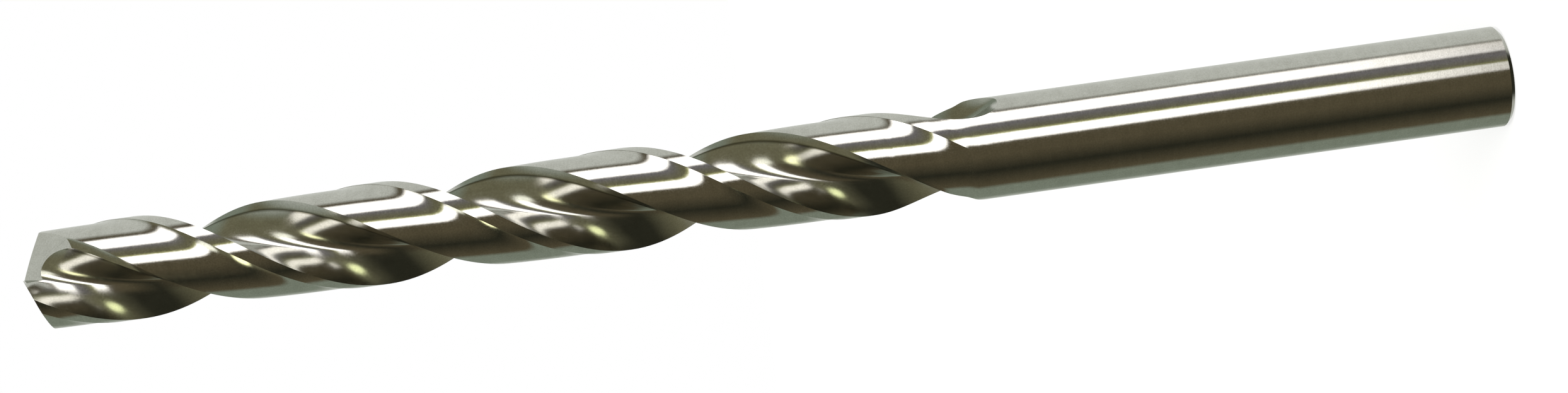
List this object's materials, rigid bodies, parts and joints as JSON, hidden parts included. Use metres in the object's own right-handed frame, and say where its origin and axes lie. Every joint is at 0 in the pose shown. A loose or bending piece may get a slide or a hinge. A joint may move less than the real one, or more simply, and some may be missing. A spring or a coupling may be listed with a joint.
{
  "type": "twist drill bit",
  "caption": "Straight-shank twist drill bit for metal, with relieved helical lands, narrow margins, a flute run-out and a split conical point.",
  "frame": {"origin": "centre of the flat end of the shank, the end that goes into the chuck", "axes": "+Z along the drill from the shank end to the point, +X along the two cutting lips"},
  "size_m": [0.008, 0.008, 0.117],
  "materials": {
    "ground_steel": "ground bright, unplated"
  },
  "bodies": {
    "root": {"twist_drill_bit": "ground_steel"}
  },
  "joints": []
}
